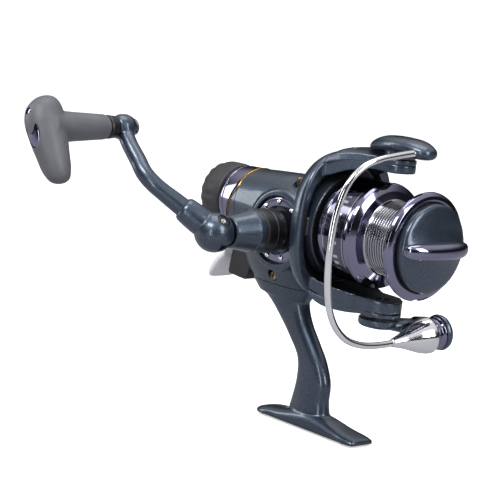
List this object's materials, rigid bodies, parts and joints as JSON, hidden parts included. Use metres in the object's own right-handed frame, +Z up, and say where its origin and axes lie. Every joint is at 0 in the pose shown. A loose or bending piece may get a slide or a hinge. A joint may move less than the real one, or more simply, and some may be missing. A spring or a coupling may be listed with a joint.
{
  "type": "spinning reel",
  "caption": "Spinning fishing reel with a folding crank and T grip, a flip-over bail, a skirted spool, and front and rear drag knobs.",
  "frame": {"origin": "centre of the flat pad under the foot, which lies on the rod", "axes": "+X forward along the spool axis towards the front drag knob, +Z up from the foot to the body, the crank on the -Y side"},
  "size_m": [0.1567, 0.1685, 0.151],
  "materials": {
    "slate_paint": "moulded, slate metallic fleck lacquer",
    "gunmetal_chrome": "plated, smoked violet",
    "gold_line": "thin gold band",
    "bright_chrome": "polished",
    "silver_plastic": "pearl silver",
    "black_plastic": "slight sheen",
    "knob_rubber": "matt ribbed rubber",
    "soft_grip": "soft touch",
    "steel": "machined",
    "brass": "machined",
    "felt": "pressed felt",
    "nylon": "moulded nylon"
  },
  "bodies": {
    "body": {"body_housing": "slate_paint", "side_cover": "slate_paint", "cover_screw_upper": "brass", "cover_screw_lower": "brass", "side_trim_disc": "gunmetal_chrome", "guide_rod": "steel", "rear_collar": "gunmetal_chrome", "gold_trim": "gold_line", "lever_shroud": "black_plastic", "lever_pin": "steel", "drive_bearing_near": "steel", "drive_bearing_far": "steel", "pinion_bearing": "steel", "one_way_clutch": "steel"},
    "drive": {"drive_shaft": "steel", "drive_gear": "brass", "crank_shank": "slate_paint", "crank_collar": "black_plastic", "far_side_cap": "gunmetal_chrome"},
    "crank": {"knuckle": "slate_paint", "fold_screw": "steel", "crank_arm": "slate_paint", "grip_spindle": "steel"},
    "knob": {"grip": "soft_grip", "grip_cap": "gunmetal_chrome", "grip_bush": "black_plastic"},
    "oscillation": {"oscillation_gear": "nylon"},
    "rotor_body": {"rotor": "slate_paint", "pinion_gear": "brass", "rotor_nut": "steel", "upper_arm_cover": "slate_paint", "lower_arm_cover": "slate_paint", "arm_cover_screw_near": "steel", "arm_cover_screw_far": "steel", "bail_spring": "steel", "trip_rod": "steel", "lower_pivot_screw": "steel", "upper_pivot_screw": "steel"},
    "bail": {"lower_bail_arm": "slate_paint", "upper_bail_arm": "slate_paint", "bail_wire": "bright_chrome", "roller_cone": "bright_chrome", "roller_axle": "steel", "roller_bush": "nylon"},
    "roller": {"line_roller": "gunmetal_chrome"},
    "shaft": {"main_shaft": "steel", "slider_block": "nylon", "spool_rest_bush": "nylon"},
    "spool_body": {"spool": "gunmetal_chrome", "front_felt_washer": "felt", "front_metal_washer": "steel", "washer_retainer": "steel"},
    "front_knob": {"front_drag_knob": "slate_paint", "front_knob_bar": "gunmetal_chrome", "front_knob_spring": "steel"},
    "rear_knob": {"rear_drag_knob": "knob_rubber", "rear_drag_spring": "steel", "rear_drag_washer": "felt"},
    "lever": {"drag_lever": "silver_plastic"}
  },
  "joints": [
    {"name": "crank_spin", "type": "hinge", "parent": "body", "child": "drive", "pos_m": [-0.0226, 0, 0.0948], "axis": [0, 1, 0], "continuous": true},
    {"name": "rotor_spin", "type": "hinge", "parent": "body", "child": "rotor_body", "pos_m": [0, 0, 0.102], "axis": [1, 0, 0], "continuous": true},
    {"name": "oscillation_spin", "type": "hinge", "parent": "body", "child": "oscillation", "pos_m": [-0.038, 0, 0.08994], "axis": [0, 1, 0], "continuous": true},
    {"name": "handle_fold", "type": "hinge", "parent": "drive", "child": "crank", "pos_m": [-0.0226, -0.06, 0.0948], "axis": [0.66, 0, 0.7513], "range_deg": [0, 60]},
    {"name": "grip_spin", "type": "hinge", "parent": "crank", "child": "knob", "pos_m": [-0.07061, -0.082, 0.13697], "axis": [0, 1, 0], "continuous": true},
    {"name": "bail_flip", "type": "hinge", "parent": "rotor_body", "child": "bail", "pos_m": [0.034, 0, 0.102], "axis": [0, 0, 1], "range_deg": [0, 65]},
    {"name": "line_roller_spin", "type": "hinge", "parent": "bail", "child": "roller", "pos_m": [0.05223, 0.01811, 0.0585], "axis": [0.0801, 0.9888, 0.1261], "continuous": true},
    {"name": "shaft_slide", "type": "slide", "parent": "body", "child": "shaft", "axis": [1, 0, 0], "range_m": [0, 0.012]},
    {"name": "spool_spin", "type": "hinge", "parent": "shaft", "child": "spool_body", "pos_m": [0.034, 0, 0.102], "axis": [1, 0, 0], "continuous": true},
    {"name": "front_knob_turn", "type": "hinge", "parent": "shaft", "child": "front_knob", "pos_m": [0.06, 0, 0.102], "axis": [1, 0, 0], "range_deg": [-360, 360]},
    {"name": "rear_knob_turn", "type": "hinge", "parent": "body", "child": "rear_knob", "pos_m": [-0.078, 0, 0.102], "axis": [1, 0, 0], "range_deg": [-180, 180]},
    {"name": "lever_swing", "type": "hinge", "parent": "body", "child": "lever", "pos_m": [-0.0605, 0, 0.075], "axis": [0, 1, 0], "range_deg": [0, 25]}
  ],
  "couplings": [
    {"joint": "rotor_spin", "follows": "crank_spin", "ratio": 5.1429},
    {"joint": "oscillation_spin", "follows": "crank_spin", "ratio": -0.35714}
  ]
}
